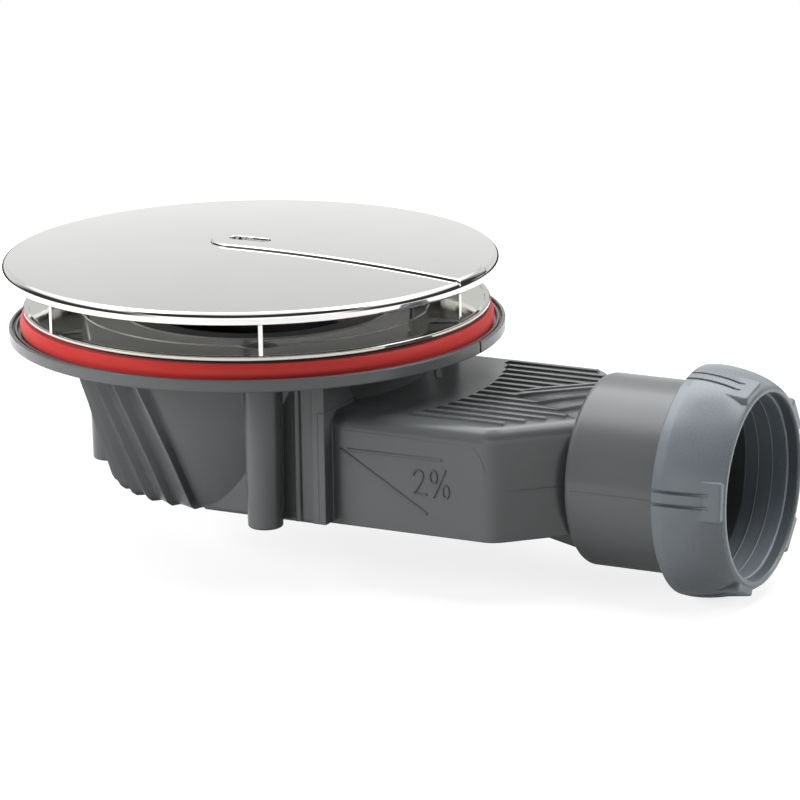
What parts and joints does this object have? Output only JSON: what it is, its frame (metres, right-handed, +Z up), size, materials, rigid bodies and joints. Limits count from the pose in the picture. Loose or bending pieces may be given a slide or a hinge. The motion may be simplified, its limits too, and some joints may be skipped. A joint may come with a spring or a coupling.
{
  "type": "shower trap",
  "caption": "Low shower waste trap with a round lift-off cover on fins, a clamped dish and red tray seal, a fluted bowl and a flat side duct ending in a compression-nut pipe socket.",
  "frame": {"origin": "on the waste axis, in the plane of the top of the body flange's lip", "axes": "+Z up along the waste axis, +X toward the outlet, +Y to the left when looking along +X"},
  "size_m": [0.1857, 0.1156, 0.071],
  "materials": {
    "chrome_plate": "polished chrome plate on moulded ABS",
    "stainless_steel": "plain stainless steel",
    "red_rubber": "moulded matt rubber",
    "black_rubber": "moulded matt rubber",
    "grey_rubber": "moulded smooth rubber",
    "grey_plastic": "satin moulded polypropylene",
    "nut_plastic": "smooth moulded polypropylene",
    "slip_plastic": "smooth translucent polyethylene",
    "insert_plastic": "satin moulded polypropylene"
  },
  "bodies": {
    "trap": {"trap_bowl": "grey_plastic", "outlet_duct": "grey_plastic", "clamp_flange": "chrome_plate", "clamp_screws": "stainless_steel", "rim_gasket": "black_rubber", "tray_seal": "red_rubber", "cover": "chrome_plate", "dip_tube": "insert_plastic", "insert_o_ring": "black_rubber", "cone_seal": "grey_rubber"},
    "slip_ring": {"thrust_washer": "slip_plastic"},
    "nut": {"compression_nut": "nut_plastic"}
  },
  "joints": [
    {"name": "ring_slide", "type": "slide", "parent": "trap", "child": "slip_ring", "axis": [1, 0, 0], "range_m": [0, 0.0061]},
    {"name": "nut_turn", "type": "hinge", "parent": "slip_ring", "child": "nut", "pos_m": [0.119, 0, -0.02615], "axis": [1, 0, 0], "range_deg": [0, 720]}
  ],
  "couplings": [
    {"joint": "ring_slide", "follows": "nut_turn", "m_per_rad": 0.00047746}
  ]
}
